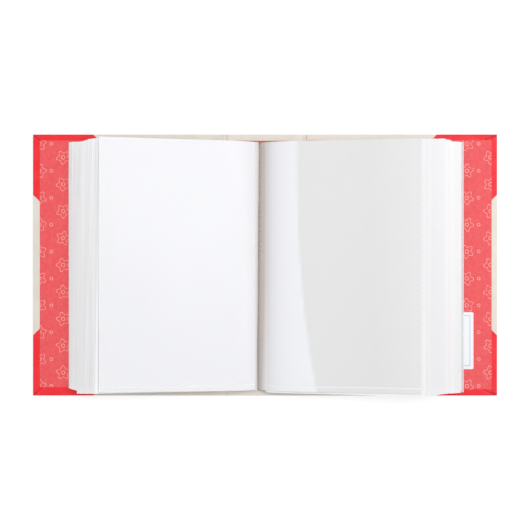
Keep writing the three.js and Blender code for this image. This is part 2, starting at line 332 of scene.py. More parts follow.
label_paper, shader = start_finish("smooth_label_paper", "F2F3F6", 0.35)
low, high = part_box("label_sticker")
middle = (low + high) / 2
place = add(label_paper, "ShaderNodeTexCoord").outputs["Object"]
centred = add(label_paper, "ShaderNodeVectorMath", {0: place, 1: middle}, operation="SUBTRACT")
folded = add(label_paper, "ShaderNodeVectorMath", {0: centred.outputs[0]}, operation="ABSOLUTE")
edges = add(label_paper, "ShaderNodeSeparateXYZ", {"Vector": folded.outputs[0]})
sides = []
for axis, half in (("X", (high.x - low.x) / 2), ("Y", (high.y - low.y) / 2)):
    over = add(label_paper, "ShaderNodeMath", {
        0: edges.outputs[axis], 1: half - FRAME_INSET}, operation="SUBTRACT")
    sides.append(over.outputs[0])
nearest = add(label_paper, "ShaderNodeMath", {0: sides[0], 1: sides[1]}, operation="MAXIMUM")
rule = add(label_paper, "ShaderNodeMath", {
    0: nearest.outputs[0], 1: 0.0, 2: FRAME_LINE}, operation="COMPARE")
printed = add(label_paper, "ShaderNodeMix", {
    FACTOR: rule.outputs[0], FIRST: linear("F2F3F6"), SECOND: linear("AEBCE0")},
    data_type="RGBA")
link(label_paper, printed.outputs[MIXED], shader, "Base Color")
print("label frame", round(FRAME_INSET / MM, 1), "mm inside its edge")

# %% Welded film
POLYPROPYLENE_IOR = 1.49
WELD_HAZE = 3.33 * MM

welded_film, shader = start_finish("welded_film_margin", "DAD6CE", 0.4, ior=POLYPROPYLENE_IOR)
haze = clouded(welded_film, WELD_HAZE, 4.0, "CFCAC1", "E6E3DC")
link(welded_film, haze, shader, "Base Color")
print("block finish", welded_film.name)

# %% [markdown]
# ## Leaves: white sheets between polypropylene films
# Each leaf is a white paper sheet between two cast polypropylene films (IOR 1.49) that lie
# against it, so what the eye gets is white with a soft gloss. The film on the front of a leaf is
# frosted and the one on its back is clear, so the fan on the right, which shows fronts, is greyer
# than the one on the left. The tints are also painted light and shade: the left-hand sheets are
# painted whiter, where the pile shades them, and the right-hand ones greyer, where the softbox
# lights them more. The sheets aren't all quite the same white, which is what draws the fine bands
# in the fans, so there are four tints a side. Round each sheet the two films alone are welded
# together, and that rim is milky and lets some of what lies behind it through: a little
# transparency, set as the shader's alpha. The sheets of the two facing pages lie flatter and
# under their own film pieces, so theirs is a finish with less gloss.

# %% White sheets
# Left-hand sheets painted whiter and right-hand ones greyer: partly painted light and shade
SHEET_TINTS_AND_PAINTED_LIGHT = {
    -1: ("FDFDFD", "FAFAFD", "FCFBFC", "FBFDFD"),
    1: ("F8F8F9", "F4F4F6", "F8F5F6", "F5F7F7")}
FACING_TINT = "F2F2F5"
FACING_ROUGHNESS = 0.2
FACING_GLOSS = 0.07
SHEET_RIPPLE = 22.2 * MM


def sheet_under_film(tint, roughness=0.28, gloss=0.25):
    """White paper seen through a clear film that ripples a little over it."""
    name = "white_sheet_under_film_" + tint
    finish, shader = start_finish(name, tint, roughness, ior=POLYPROPYLENE_IOR)
    shader.inputs["Specular IOR Level"].default_value = gloss
    roughen(finish, shader, SHEET_RIPPLE, 2.0, 0.12, 1.5 * MM)
    return finish


insert_sheets = {side: [sheet_under_film(tint) for tint in SHEET_TINTS_AND_PAINTED_LIGHT[side]] for side in (-1, 1)}
facing_white = sheet_under_film(FACING_TINT, FACING_ROUGHNESS, FACING_GLOSS)
print("sheets in", len(insert_sheets[-1]) + len(insert_sheets[1]), "tints, and", facing_white.name)

# %% [markdown]
# The rim was pressed by a knurled wheel with a tooth every 3.1 mm, which leaves fine bars across
# it: a wave texture in the bump. The binding margin of a facing page is bare film. In the gutter
# nothing white lies behind it, so it looks brownish, and it is painted darker still there as
# painted shade; the mesh says how much it is backed and shaded. The clear film is nearly
# invisible: what shows is its gloss over long, shallow ripples.

# %% Rim, margin and clear film
KNURL_PITCH = 3.1 * MM
# Bands that a wave texture draws for each unit of its scale
WAVE_BANDS = 3.2
# Bare film in the gutter, darker than bare film alone: partly painted shade
UNBACKED_AND_SHADED = "BEB3AD"
MARGIN_GLOSS = 0.15
FILM_RIPPLE = 35.7 * MM

film_rim, shader = start_finish(
    "welded_polypropylene_rim", "F8F8FA", 0.3, ior=POLYPROPYLENE_IOR)
shader.inputs["Alpha"].default_value = 0.5
place = add(film_rim, "ShaderNodeTexCoord").outputs["Object"]
rows = add(film_rim, "ShaderNodeTexWave", {
    "Vector": place, "Scale": 1 / (KNURL_PITCH * WAVE_BANDS), "Distortion": 0.0},
    bands_direction="Y", wave_profile="SIN")
bump = add(film_rim, "ShaderNodeBump", {
    "Height": rows.outputs["Fac"], "Strength": 0.35, "Distance": 0.1 * MM})
link(film_rim, bump.outputs["Normal"], shader, "Normal")

margin_film, shader = start_finish(
    "pressed_binding_margin", "F8F9FD", 0.35, ior=POLYPROPYLENE_IOR)
shader.inputs["Specular IOR Level"].default_value = MARGIN_GLOSS
# This value mixes in bare film and painted gutter shade
backing = add(margin_film, "ShaderNodeAttribute", attribute_name="backing")
tone = add(margin_film, "ShaderNodeMix", {
    FACTOR: backing.outputs["Fac"], FIRST: linear(UNBACKED_AND_SHADED), SECOND: linear("F8F9FD")},
    data_type="RGBA")
link(margin_film, tone.outputs[MIXED], shader, "Base Color")

clear_film, shader = start_finish(
    "clear_cast_polypropylene", "F8F9FB", 0.16, ior=POLYPROPYLENE_IOR)
shader.inputs["Alpha"].default_value = 0.08
roughen(clear_film, shader, FILM_RIPPLE, 2.0, 0.2, 2.0 * MM)
print("rim", film_rim.name, "margin", margin_film.name, "film", clear_film.name)

# %% [markdown]
# The film on the right-hand page is the frosted kind, embossed with a lattice of tiny dots in
# staggered rows, 1.3 mm apart across the page and 1.9 mm down it. Where it lies against the sheet
# it looks grey, and where it stands off, along the gutter, the gap scatters light and it looks
# paler and bluer. The mesh carries a value called "contact" that says which, so that the tone
# follows the film's own shape.

# %% Frosted film
DOT_PITCHES = {"X": 1.28 * MM, "Y": 1.92 * MM}

frosted_film, shader = start_finish(
    "frosted_embossed_polypropylene", "F0F1F2", 0.45, ior=POLYPROPYLENE_IOR)
shader.inputs["Alpha"].default_value = 0.92
place = add(frosted_film, "ShaderNodeTexCoord").outputs["Object"]
axes = add(frosted_film, "ShaderNodeSeparateXYZ", {"Vector": place})
waves = []
for axis, pitch in DOT_PITCHES.items():
    turns = add(frosted_film, "ShaderNodeMath", {
        0: axes.outputs[axis], 1: math.tau / pitch}, operation="MULTIPLY")
    waves.append(add(frosted_film, "ShaderNodeMath", {0: turns.outputs[0]}, operation="COSINE"))
lattice = add(frosted_film, "ShaderNodeMath", {
    0: waves[0].outputs[0], 1: waves[1].outputs[0]}, operation="MULTIPLY")
contact = add(frosted_film, "ShaderNodeAttribute", attribute_name="contact")
dots = add(frosted_film, "ShaderNodeMath", {
    0: lattice.outputs[0], 1: contact.outputs["Fac"]}, operation="MULTIPLY")
shade = add(frosted_film, "ShaderNodeMapRange", {
    "Value": dots.outputs[0], "From Min": -1.0, "From Max": 1.0})
dotted = add(frosted_film, "ShaderNodeMix", {
    FACTOR: shade.outputs["Result"], FIRST: linear("DBDBDB"), SECOND: linear("F4F4F4")},
    data_type="RGBA")
tone = add(frosted_film, "ShaderNodeMix", {
    FACTOR: contact.outputs["Fac"], FIRST: linear("F8F9FD"), SECOND: dotted.outputs[MIXED]},
    data_type="RGBA")
# This value mixes in bare film and painted gutter shade
backing = add(frosted_film, "ShaderNodeAttribute", attribute_name="backing")
backed = add(frosted_film, "ShaderNodeMix", {
    FACTOR: backing.outputs["Fac"], FIRST: linear(UNBACKED_AND_SHADED), SECOND: tone.outputs[MIXED]},
    data_type="RGBA")
link(frosted_film, backed.outputs[MIXED], shader, "Base Color")
bump = add(frosted_film, "ShaderNodeBump", {
    "Height": dots.outputs[0], "Strength": 0.3, "Distance": 0.05 * MM})
link(frosted_film, bump.outputs["Normal"], shader, "Normal")
print("frosted film", len(frosted_film.node_tree.nodes), "nodes")

# %% [markdown]
# ## Dressing the covers
# Boards, wraps, corners, endpapers, lining and label keep their CAD shapes, which are the real
# ones, so they only get their finishes. A material goes in by assigning to the object's slots.

# %% Finishes for the CAD pieces
CAD_FINISHES = {
    "front_board": grey_board, "back_board": grey_board, "spine_board": grey_board,
    "front_wrap": beige_paper, "back_wrap": beige_paper, "spine_wrap": beige_paper,
    "front_corner_head": red_paper, "front_corner_tail": red_paper,
    "back_corner_head": red_paper, "back_corner_tail": red_paper,
    "front_endpaper": endpaper_print, "back_endpaper": endpaper_print,
    "spine_lining": shaded_lining_paper, "label_sticker": label_paper,
}
for name, finish in CAD_FINISHES.items():
    node = frame["nodes"][name]
    node.data.materials.clear()
    node.data.materials.append(finish)
print("dressed", len(CAD_FINISHES), "CAD pieces")

# %% [markdown]
# ## Thin pieces from two grids
# Almost everything else is thin: a leaf, a film, a fold of paper. Each is made from two grids of
# points, its upper and its lower face, joined by walls round the border, so that it is a closed
# body with a true thickness. NumPy lays out the points of a whole face at once.

# %% A closed thin piece
def thin_piece(name, upper, lower, finishes, chosen=None):
    """A mesh from two grids of points in mm, with an optional finish number for each square."""
    rows, columns = upper.shape[:2]
    count = rows * columns
    number = np.arange(count).reshape(rows, columns)
    top = np.stack([number[:-1, :-1], number[:-1, 1:], number[1:, 1:], number[1:, :-1]], -1)
    top = top.reshape(-1, 4)
    ring = np.concatenate([number[0, :-1], number[:-1, -1], number[-1, :0:-1], number[:0:-1, 0]])
    after = np.roll(ring, -1)
    walls = np.stack([after, ring, ring + count, after + count], -1)
    faces = np.concatenate([top, top[:, ::-1] + count, walls])
    across = np.cross(upper[0, 1] - upper[0, 0], upper[1, 0] - upper[0, 0])
    if np.dot(across, upper[0, 0] - lower[0, 0]) < 0:
        faces = faces[:, ::-1]
    mesh = bpy.data.meshes.new(name)
    points = np.concatenate([upper.reshape(-1, 3), lower.reshape(-1, 3)]) * MM
    mesh.from_pydata(points.tolist(), [], faces.tolist())
    mesh.polygons.foreach_set("use_smooth", np.ones(len(faces), bool))
    mesh.set_sharp_from_angle(angle=math.radians(50))
    for finish in finishes:
        mesh.materials.append(finish)
    if chosen is not None:
        squares = chosen.reshape(-1)
        last = np.full(len(walls), len(finishes) - 1)
        mesh.polygons.foreach_set("material_index", np.concatenate([squares, squares, last]))
    piece = bpy.data.objects.new(name, mesh)
    bpy.context.scene.collection.objects.link(piece)
    return piece


def mark(piece, name, values):
    """Keeps one number for each point of a face, the same on the piece's two faces."""
    layer = piece.data.attributes.new(name, "FLOAT", "POINT")
    both = np.concatenate([values.reshape(-1), values.reshape(-1)]).astype(np.float32)
    layer.data.foreach_set("value", both)


# %% [markdown]
# ## Mitred folds at the corners
# Where a corner piece is turned in, two flaps meet: one over the fore-edge and one over the head or
# tail. They meet along a slanting crease that starts at the corner itself, where the upper flap's
# bevelled cut edge is painted a darker red, as painted shade for the thin dark line there. On the
# back cover the flaps were folded less squarely, so the crease slants more and the cut edge gapes.
#
# A line painted on the CAD corner would look flat from the side, so each flap is a sheet of its
# own, laid on the CAD corner, with a soft outer edge and a bevelled cut edge at the crease.

# %% Corner folds
FLAP_THICKNESS = 0.28
FLAP_SEAT = 0.02
CORNER_LEG = 38
SLIT = 0.2
CREASE_SLANT = {"front": 1.2, "back": 2.0}
CUT_EDGE = {"front": 0.35, "back": 1.3}
CUT_DROP = 0.3
SOFT_EDGE = ((0.05, 0.1), (0.25, 0.7), (0.7, 1.0))
FLAP_SHARES = np.linspace(0.1, 1, 9)


def corner_fold(name, cover, shown, slant, bevel, place, top):
    """One turned-in flap. place turns distances in from its edge and along it into X and Y."""
    across = np.array([reach for reach, _ in SOFT_EDGE] + [shown])
    height = FLAP_THICKNESS * np.array([share for _, share in SOFT_EDGE] + [1.0])
    start = slant * across + SLIT
    share = np.concatenate([[0, bevel / CORNER_LEG], FLAP_SHARES])[:, None]
    along = start + share * (CORNER_LEG - start)
    drop = np.where(share > 0, 1.0, CUT_DROP)
    x, y = place(across + 0 * along, along)
    upper = np.stack([x, y, top + height * drop], -1)
    lower = np.stack([x, y, top - FLAP_SEAT + 0 * along], -1)
    # The first row of squares, the bevelled cut edge at the crease, takes the darker red as painted shade
    is_cut = np.zeros((len(share) - 1, len(across) - 1), int)
    is_cut[0] = 1
    flap = thin_piece(name, upper, lower, [red_paper, painted_shade_cut_edge], is_cut)
    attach(flap, cover + "_cover")


for cover, side in (("front", -1), ("back", 1)):
    low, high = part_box(cover + "_corner_head")
    paper_low, paper_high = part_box(cover + "_endpaper")
    fore = max(high.x, -low.x) / MM
    fore_shown = fore - max(paper_high.x, -paper_low.x) / MM
    edge, top = high.y / MM, high.z / MM
    slant, bevel = CREASE_SLANT[cover], CUT_EDGE[cover]
    for end, label in ((1, "head"), (-1, "tail")):
        end_shown = edge - abs(paper_high.y if end > 0 else paper_low.y) / MM
        corner_fold(
            f"{cover}_{label}_fore_flap", cover, fore_shown, 1 / slant, bevel / slant,
            lambda across, along: (side * (fore - across), end * (edge - along)), top)
        corner_fold(
            f"{cover}_{label}_end_flap", cover, end_shown, slant, bevel,
            lambda across, along: (side * (fore - along), end * (edge - across)), top)
    print(cover, "turn-ins show", round(fore_shown, 2), "and", round(end_shown, 2), "mm")

# %% [markdown]
# ## Hinge papers
# Between the boards the cover is only paper: an outer sheet and, inside, its turned-in ends and
# the red lining, pressed into a groove. The groove is deepest a little off its middle, and it is
# shallower at the tail. The papers have to bend as a cover closes. A mesh that crosses a joint is
# given to two bodies at once: points before the first station follow the spine, points after the
# second follow the cover, and those between turn with a share of the angle.

# %% Hinge papers that bend
PAPER = 0.22
GROOVE_INSIDE = {-1: 0.9, 1: 1.4}
GROOVE_OUTSIDE = 0.6
GROOVE_SKEW = {-1: 0.76, 1: 2.1}
TAIL_GROOVE = 0.3
HINGE_STATIONS = 15
HINGE_ROWS = 12
HINGE_OVERLAP = 0.05


def hinge_paper(name, cover, side, is_inside, half_height):
    """A strip across one joint, dipping into the groove on its own face of the cover."""
    low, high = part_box(cover + "_joint")
    x0, x1 = low.x / MM - HINGE_OVERLAP, high.x / MM + HINGE_OVERLAP
    base, top = low.z / MM, high.z / MM
    x = np.linspace(x0, x1, HINGE_STATIONS)
    y = np.linspace(-half_height, half_height, HINGE_ROWS)
    across = ((x - x0) / (x1 - x0)) ** GROOVE_SKEW[side]
    depth = GROOVE_INSIDE[side] if is_inside else GROOVE_OUTSIDE
    depth = depth * np.interp(y, (-half_height, half_height), (TAIL_GROOVE, 1))[:, None]
    dip = depth * np.clip(np.sin(math.pi * across), 0, 1)
    outer = top - dip if is_inside else base + dip
    inner = outer - PAPER if is_inside else outer + PAPER
    grids = [np.stack([x + 0 * dip, y[:, None] + 0 * dip, height], -1) for height in (outer, inner)]
    strip = thin_piece(name, grids[0], grids[1], [beige_paper])
    inner_x = low.x if side > 0 else high.x
    outer_x = high.x if side > 0 else low.x
    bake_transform(strip, "spine", cover + "_cover", start=(inner_x, 0, 0), end=(outer_x, 0, 0))
    return strip


for cover, side in (("front", -1), ("back", 1)):
    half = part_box(cover + "_joint")[1].y / MM
    outside = hinge_paper(cover + "_hinge_outside", cover, side, False, half)
    inside = hinge_paper(cover + "_hinge_inside", cover, side, True, half)
    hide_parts(cover + "_joint")
    print(outside.name, "and", inside.name)

# %% [markdown]
# ## Where each leaf lies
# Every leaf has a hinge where its root meets the block. From the hinge and the fore-edge of its
# CAD solid come its length and its slope, so that each new leaf lies where the old one did.

# %% Read the leaves from the frame
EDGE_TOLERANCE = 0.1
Leaf = namedtuple("Leaf", "name side x z length cos sin tail head")
FACING_SHEETS = {"leaf_17": "leaf_17_sheet", "leaf_18": "leaf_18_sheet"}


def read_leaf(joint):
    """A leaf's root, length, slope and ends in mm. side is -1 for the front half, 1 for the back."""
    node = frame["nodes"][FACING_SHEETS.get(joint["child"], joint["child"])]
    points = np.array([v.co for v in node.data.vertices]) / MM
    side = 1 if joint["axis"][1] > 0 else -1
    x, _, z = (v / MM for v in joint["pos_m"])
    outward = side * points[:, 0]
    edge = points[outward > outward.max() - EDGE_TOLERANCE]
    fore = (edge.min(0) + edge.max(0)) / 2
    length = math.hypot(fore[0] - x, fore[2] - z)
    cos, sin = side * (fore[0] - x) / length, (fore[2] - z) / length
    tail, head = points[:, 1].min(), points[:, 1].max()
    return Leaf(joint["child"], side, x, z, length, cos, sin, tail, head)


leaves = [read_leaf(j) for j in frame["joints"] if j["name"].startswith("leaf_")]
leaves.sort(key=lambda leaf: leaf.name)
front_leaves = [leaf for leaf in leaves if leaf.side < 0]
back_leaves = [leaf for leaf in leaves if leaf.side > 0][::-1]
left_leaf, right_leaf = front_leaves[-1], back_leaves[-1]
print(len(front_leaves), "leaves on the left and", len(back_leaves), "on the right")


def lie(leaf, along, up, y):
    """Points in mm: along a leaf from its root, up off its straight line, and at y."""
    along, up, y = np.broadcast_arrays(along, up, y)
    x = leaf.x + leaf.side * (along * leaf.cos - up * leaf.sin)
    z = leaf.z + along * leaf.sin + up * leaf.cos
    return np.stack([x, y, z], -1)


# %% [markdown]
# ## The binding block
# The block is the welded margins of all the films, pressed into one stack. From the head it shows
# as upright layers whose ends don't quite line up. Where the album lies open the block gapes, so
# there is a notch down to its floor between the two facing leaves.

# %% Block of welded margins
LAYER_PITCH = 0.56
LAYER_WIDTH = 0.5
ROOT_DIP = 2.2
BLOCK_BELOW_ROOT = 2.15
NOTCH = (-5.4, -0.9)
NOTCH_FLOOR = 3.9
BLOCK_SHORT = 0.8
TOP_UNEVEN = 0.06
TAIL_UNEVEN = 0.5
HEAD_UNEVEN = 0.3

rng = random.Random(11)
low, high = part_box("leaf_block")
roots = sorted((leaf.x, leaf.z) for leaf in leaves)
root_x = [x for x, z in roots]
root_z = [z for x, z in roots]
points, faces = [], []
x = low.x / MM
while x < high.x / MM - LAYER_WIDTH:
    middle = x + LAYER_WIDTH / 2
    top = np.interp(middle, root_x, root_z) - BLOCK_BELOW_ROOT
    top = top + rng.uniform(-TOP_UNEVEN, TOP_UNEVEN)
    if NOTCH[0] < middle < NOTCH[1]:
        top = NOTCH_FLOOR
    tail = low.y / MM + rng.uniform(0, TAIL_UNEVEN)
    head = high.y / MM - BLOCK_SHORT - rng.uniform(0, HEAD_UNEVEN)
    start = len(points)
    for height in (low.z / MM, top):
        points += [(x, tail, height), (x + LAYER_WIDTH, tail, height),
                   (x + LAYER_WIDTH, head, height), (x, head, height)]
    for quad in ((3, 2, 1, 0), (4, 5, 6, 7), (0, 1, 5, 4), (1, 2, 6, 5), (2, 3, 7, 6), (3, 0, 4, 7)):
        faces.append([start + corner for corner in quad])
    x += LAYER_PITCH
mesh = bpy.data.meshes.new("binding_block")
mesh.from_pydata((np.array(points) * MM).tolist(), [], faces)
mesh.materials.append(welded_film)
block = bpy.data.objects.new("binding_block", mesh)
bpy.context.scene.collection.objects.link(block)
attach(block, "spine")
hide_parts("leaf_block")
print("block of", len(faces) // 6, "layers")

# %% [markdown]
# ## The plain leaves
# All but the two facing leaves only show their fore-edges. A leaf bends: it comes steeply out of
# the block, arches over and levels out, and its free corners wave a little. Its rim is thinner
# than its middle, because only the two films go on there. Stations lie closer together at the
# root and at the rim, where the shape changes.
#
# Near the root a leaf is given to the spine and to its own body, so that it bends there as the
# cover closes and doesn't swing out of the block.

# %% How a leaf bends
LEAF_ARCH = 0.55
# share * (1 - share) ** 2 is 4 / 27 at its highest, and this makes it 1
ARCH_PEAK = 27 / 4
DIP_REACH = 14
WAVE = 0.16
LONG_WAVE, SHORT_WAVE, WAVE_SLANT = 38, 21, 30
SHORT_WAVE_SHARE = 0.7
PAGE_SKEW = {-1: (-0.55, 0.75), 1: (-0.8, 0.0)}


def leaf_wave(leaf, along, y, phases):
    """A slow ripple along the fore-edge that dies away towards the root."""
    short = np.sin(y / SHORT_WAVE + along / WAVE_SLANT + phases[1])
    ripple = np.sin(y / LONG_WAVE + phases[0]) + SHORT_WAVE_SHARE * short
    return WAVE * (along / leaf.length) ** 1.5 * ripple


def leaf_rise(leaf, along, dip):
    """Height of a leaf's middle surface off its straight line, which it leaves by dip at the root."""
    share = along / leaf.length
    arch = LEAF_ARCH * ARCH_PEAK * share * (1 - share) ** 2
    return arch - dip * np.clip(1 - along / DIP_REACH, 0, 1) ** 2


def skew(leaf, along):
    """Every leaf lies slightly askew, so its middle shifts from the gutter to the fore-edge."""
    start, turn = PAGE_SKEW[leaf.side]
    return start + turn * along / leaf.length


print("leaves arch by", LEAF_ARCH, "mm and dip by", ROOT_DIP, "mm at the root")

# %% One plain leaf
SHEET_HALF = 0.125
RIM_HALF = 0.11
RIM = 2.1
RIM_STEP = 0.2
CLEAR_EDGE = 1.0
ROOT_ZONE = (0.3, 2.9)
ROOT_STATIONS = [0.6, 1.4, 2.4, 4, 6, 8.5, 12, 16, 22, 30, 40, 52, 64, 76, 88]
RIM_STATIONS = [7, 3.2, RIM + RIM_STEP, RIM, 1.5, 0.8, 0]
TAIL_STATIONS = [0, 0.8, 1.5, RIM, RIM + RIM_STEP, 4]
UPPER_START = 11
UPPER_ROWS = 20


def plain_leaf(leaf, dip, lean, tail_shift, head_shift, tint, edge_finish):
    """One leaf as a thin piece: its sheet in one finish and its outermost edge in another."""
    tail, head = leaf.tail, leaf.head
    along = np.array(ROOT_STATIONS + [leaf.length - d for d in RIM_STATIONS])[None, :]
    upper_rows = np.linspace(tail + UPPER_START, head, UPPER_ROWS)
    y = np.concatenate([tail + np.array(TAIL_STATIONS), upper_rows])[:, None]
    phases = [rng.uniform(0, math.tau), rng.uniform(0, math.tau)]
    rise = leaf_rise(leaf, along, dip) + leaf_wave(leaf, along, y, phases)
    is_sheet = (along <= leaf.length - RIM - RIM_STEP) & (y >= tail + RIM + RIM_STEP)
    is_inner = (along <= leaf.length - CLEAR_EDGE) & (y >= tail + CLEAR_EDGE)
    half = np.where(is_sheet, SHEET_HALF, RIM_HALF)
    share = along / leaf.length
    shifted = along + lean * y / head * share
    end_shift = tail_shift + (head_shift - tail_shift) * (y - tail) / (head - tail)
    placed = y + skew(leaf, along) + end_shift * share ** 2
    upper = lie(leaf, shifted, rise + half, placed)
    lower = lie(leaf, shifted, rise - half, placed)
    chosen = np.where(is_inner[:-1, :-1] & is_inner[1:, 1:], 0, 1)
    piece = thin_piece(leaf.name + "_film", upper, lower, [tint, edge_finish], chosen)
    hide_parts(leaf.name)
    bend_start, bend_end = (lie(leaf, along, 0, 0) * MM for along in ROOT_ZONE)
    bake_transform(piece, "spine", leaf.name, start=tuple(bend_start), end=tuple(bend_end))


# %% [markdown]
# The fans on the two sides differ. On the left the fore-edges run slightly aslant. The ends of the
# leaves don't lie flush either: some stand out in the middle of the pile and others at its top,
# so their shifts are read off a curve from the lowest leaf (0) to the top one (1).
#
# The two plain leaves next to a facing page dip further at their roots, to stay under its margin.
# A clear edge that lies over other leaves looks as white as they do, so it gets one of the sheet
# finishes. Only the lowest leaf on the right has its edge over the red endpaper. That edge is
# see-through, and a thin pink line shows there.

# %% Fans of leaves
FRONT_LEAN = -1.2
LEAN_GROWTH = 1.5
BACK_REACH = 0.6
LOWEST_REACH = 1.0
TOP_DIP = 0.6
DIPPED_LEAVES = 2
UNEVEN = 0.15
HEAD_SHIFTS = {
    -1: ((0, 0.4, 0.7, 1), (-0.4, -1.15, -0.1, -0.25)),
    1: ((0, 0.25, 0.33, 0.47, 0.74, 1), (1.9, 1.5, 2.2, 2.5, 1.6, 0.9))}
TAIL_SHIFTS = {
    -1: ((0, 0.25, 0.3, 1), (-0.1, -0.3, -2.1, -0.2)),
    1: ((0, 0.47, 0.7, 1), (-0.6, 0.2, -0.2, 0))}

for side, pile in ((-1, front_leaves), (1, back_leaves)):
    for k, leaf in enumerate(pile[:-1]):
        share = k / (len(pile) - 1)
        head_shift = np.interp(share, *HEAD_SHIFTS[side]) + rng.uniform(-UNEVEN, UNEVEN)
        tail_shift = np.interp(share, *TAIL_SHIFTS[side]) + rng.uniform(-UNEVEN, UNEVEN)
        tint, edge_finish = rng.choice(insert_sheets[side]), rng.choice(insert_sheets[side])
        lean = FRONT_LEAN * share ** LEAN_GROWTH if side < 0 else 0
        if side > 0:
            leaf = leaf._replace(length=leaf.length + BACK_REACH)
        if side > 0 and k == 0:
            leaf = leaf._replace(length=leaf.length + LOWEST_REACH)
            edge_finish = film_rim
        leaves_above = len(pile) - 2 - k
        dip = ROOT_DIP + TOP_DIP * max(0, 1 - leaves_above / DIPPED_LEAVES)
        plain_leaf(leaf, dip, lean, tail_shift, head_shift, tint, edge_finish)
print("plain leaves", len(leaves) - 2)

# %% [markdown]
# ## Margins of the two facing pages
# The two facing pages each start as a margin that stands up out of the notch and rolls over into
# the page. A cubic Bezier curve has just the two handles that such a roll needs: one pulls
# straight up out of the block, and the other lies along the page, so that the two meet smoothly.

# %% How a facing page lies
CREASE = 3.2
GUTTER_DIP = {-1: (1.9, 11.5), 1: (1.7, 20)}
# How far the dip's curve may run on past the crease, into the margin
DIP_LIMIT = 1.2
LEFT_ARCH = 0.5
RIGHT_ARCH = 1.6
# share * (1 - share) ** 3 is 27 / 256 at its highest
RIGHT_ARCH_PEAK = 256 / 27
PAGE_ROLL = 0.2
ROLL_LENGTH = 80
ROLL_START = 34
PAGE_ROWS = 270


def page_rise(leaf, along):
    """Height of a facing page off its straight line. The right-hand one arches more, and sooner."""
    share = along / leaf.length
    depth, reach = GUTTER_DIP[leaf.side]
    dip = depth * np.clip(1 - (along - CREASE) / reach, 0, DIP_LIMIT) ** 2
    if leaf.side < 0:
        return LEFT_ARCH * ARCH_PEAK * share * (1 - share) ** 2 - dip
    return RIGHT_ARCH * RIGHT_ARCH_PEAK * share * (1 - share) ** 3 - dip


def page_wave(leaf, along, y):
    """A soft roll that runs slanting down the left-hand page, which is free to move."""
    if leaf.side > 0:
        return 0
    share = np.clip((along - CREASE) / (leaf.length - CREASE), 0, 1)
    roll = 1 + np.sin(math.tau * (along + y / 2 - ROLL_START) / ROLL_LENGTH)
    return PAGE_ROLL * np.sin(math.pi * share) * roll


half_height = (left_leaf.head - left_leaf.tail) / 2
page_ys = np.linspace(-half_height, half_height, PAGE_ROWS)[:, None]


def tailward(y):
    """0 at the head of a page and 1 at its tail."""
    return np.clip(0.5 - y / 2 / half_height, 0, 1)


print("facing pages", round(2 * half_height, 1), "mm high")

# %% [markdown]
# In the gutter the film has no white sheet behind it, so it looks brownish there, and it grows
# whiter as the page comes up over its own sheet. The same value also paints the gutter's shade,
# darkest down in the notch and fading over a few millimetres. Both the margin and the film of the
# right-hand page carry it as a value called "backing", worked out from the place
# alone, so that the tone runs on smoothly from one piece to the next. The knurled wheel that welded
# the margin left a row of dimples down it, close to the fold.

# %% Backing and painted gutter shade
BARE_AND_SHADED = 0.12
BAND_END = -0.4
BAND_NARROWS = 2.1
BACKING_AND_SHADE_FADE = 3.8


def backing_and_gutter_shade_at(x, y):
    """How much white sheet lies behind the film at a place, with the painted gutter shade, from the bare
    share up to 1.
    """
    past = np.clip(x - BAND_END + BAND_NARROWS * tailward(y) ** 3, 0, None)
    return BARE_AND_SHADED + (1 - BARE_AND_SHADED) * (1 - np.exp(-past / BACKING_AND_SHADE_FADE))


print("backing 10 mm from the gutter", round(float(backing_and_gutter_shade_at(10, 0)), 2))

# %% Margins rolling out of the gutter
Margin = namedtuple("Margin", "foot up back lean")
MARGINS = {-1: Margin(-3.85, 2.6, 1.5, -1.2), 1: Margin(-3.4, 1.3, 2.4, -1.2)}
MARGIN_STATIONS = 33
JOIN_STEP = 0.1
FILM_HALF = 0.1
DIMPLE_INSET = 0.75
DIMPLE_REACH = 0.5
DIMPLE_DEPTH = 0.3
# The left-hand margin is painted darker, most at its foot in the notch: painted shade on its wall into the
# gutter
LEFT_FOOT_BACKING_AND_SHADE = 0.5
LEFT_TOP_BACKING_AND_SHADE = 0.65


